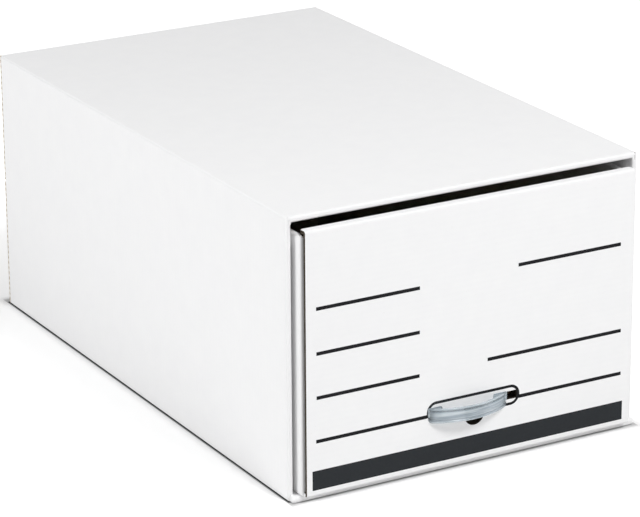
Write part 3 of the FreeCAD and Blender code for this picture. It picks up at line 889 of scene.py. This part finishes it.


# Floor paint: matt white emulsion on a studio floor, with a painted contact shadow along the box.
def makeFloorPaint():
    material, tree = newMaterial("paintedStudioFloor")
    # The glow that carries the floor to plain white sets in outside the box's own shadow.
    mirrored = addNode(tree, "ShaderNodeVectorMath", {0: objectPlace(tree)}, operation="ABSOLUTE")
    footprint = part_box("sleeve_bottom")[1].x, -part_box("sleeve_bottom")[0].y, 0
    beyond = addNode(tree, "ShaderNodeVectorMath", {0: mirrored.outputs[0], 1: footprint},
                     operation="SUBTRACT")
    outside = addNode(tree, "ShaderNodeVectorMath", {0: beyond.outputs[0], 1: (0, 0, 0)},
                      operation="MAXIMUM")
    away = addNode(tree, "ShaderNodeVectorMath", {0: outside.outputs[0]}, operation="LENGTH")
    away = away.outputs["Value"]
    near = mapRange(tree, away, high=stageLook["nearReach"], toHigh=stageLook["nearGlow"])
    far = mapRange(tree, away, stageLook["nearReach"], stageLook["farReach"], 0.0, stageLook["farGlow"])
    glow = addMath(tree, "MULTIPLY", seenByEye(tree), addMath(tree, "ADD", near, far))
    # Where the box's long sides and its lip stand on it, a contact shadow is painted dark on the floor.
    apart = addNode(tree, "ShaderNodeSeparateXYZ", {0: beyond.outputs[0]}).outputs
    beside = mapRange(tree, apart[0], stageLook["paintedContactShadowFrom"], stageLook["paintedContactShadowTo"])
    shade = mapRange(tree, apart[1], high=stageLook["lipReach"], toLow=stageLook["lipShade"])
    isBefore = addMath(tree, "GREATER_THAN", apart[1], stageLook["lipUnder"])
    paintedContactShadow = addMath(tree, "MAXIMUM", beside, addMath(tree, "MULTIPLY", shade, isBefore))
    addSurface(tree, {
        "Base Color": mixColours(tree, paintedContactShadow, stageLook["paintedContactShadowColour"], stageLook["floorColour"]),
        "Roughness": 0.9, "Specular IOR Level": 0.1, "Emission Color": hexColor(stageLook["glowColour"]),
        "Emission Strength": glow})
    return material


def makeFloor():
    bm = bmesh.new()
    bmesh.ops.create_grid(bm, x_segments=1, y_segments=1, size=stageLook["floorSize"] / 2)
    mesh = bpy.data.meshes.new("floor")
    bm.to_mesh(mesh)
    bm.free()
    mesh.materials.append(makeFloorPaint())
    floor = bpy.data.objects.new("floor", mesh)
    floor.location.z = -stageLook["floorDrop"]
    bpy.context.scene.collection.objects.link(floor)


def makeRoom():
    # Plain white to the eye, and dimmer as a light
    world = bpy.data.worlds.new("whiteRoom")
    bpy.context.scene.world = world
    world.use_nodes = True
    tree = world.node_tree
    tree.nodes.clear()
    strength = mapRange(tree, seenByEye(tree), toLow=stageLook["roomLight"])
    back = addNode(tree, "ShaderNodeBackground", {"Color": hexColor(stageLook["glowColour"]),
                                                  "Strength": strength})
    addNode(tree, "ShaderNodeOutputWorld", {"Surface": back.outputs[0]})


def addSoftbox(name, setup):
    light = bpy.data.lights.new(name, "AREA")
    light.shape = "RECTANGLE"
    light.size = light.size_y = setup["size"]
    light.energy = setup["power"]
    lamp = bpy.data.objects.new(name, light)
    bpy.context.scene.collection.objects.link(lamp)
    lamp.location = setup["place"]
    aim = Vector(setup["aim"]) - lamp.location
    lamp.rotation_euler = aim.to_track_quat("-Z", "Y").to_euler()


def addCamera():
    turn, lift, roll = (math.radians(cameraLook[name]) for name in ("turn", "lift", "roll"))
    back = Vector((math.sin(turn) * math.cos(lift), -math.cos(turn) * math.cos(lift), math.sin(lift)))
    right = Vector((math.cos(turn), math.sin(turn), 0))
    up = back.cross(right)
    rolledRight = math.cos(roll) * right + math.sin(roll) * up
    rolledUp = -math.sin(roll) * right + math.cos(roll) * up
    camera = bpy.data.objects.new("camera", bpy.data.cameras.new("camera"))
    bpy.context.scene.collection.objects.link(camera)
    place = (Vector(cameraLook["aim"]) - cameraLook["sideways"] * rolledRight
             - cameraLook["upwards"] * rolledUp + back * cameraLook["distance"])
    camera.matrix_world = (Matrix.Translation(place)
                           @ Matrix((rolledRight, rolledUp, back)).transposed().to_4x4())
    camera.data.sensor_width = cameraLook["sensor"]
    camera.data.lens = cameraLook["lens"]
    camera.data.clip_end = cameraLook["farthest"]
    bpy.context.scene.camera = camera


makeFloor()
makeRoom()
for name, setup in softboxes.items():
    addSoftbox(name, setup)
addCamera()
bpy.context.scene.view_settings.view_transform = "Standard"
print("stage set")
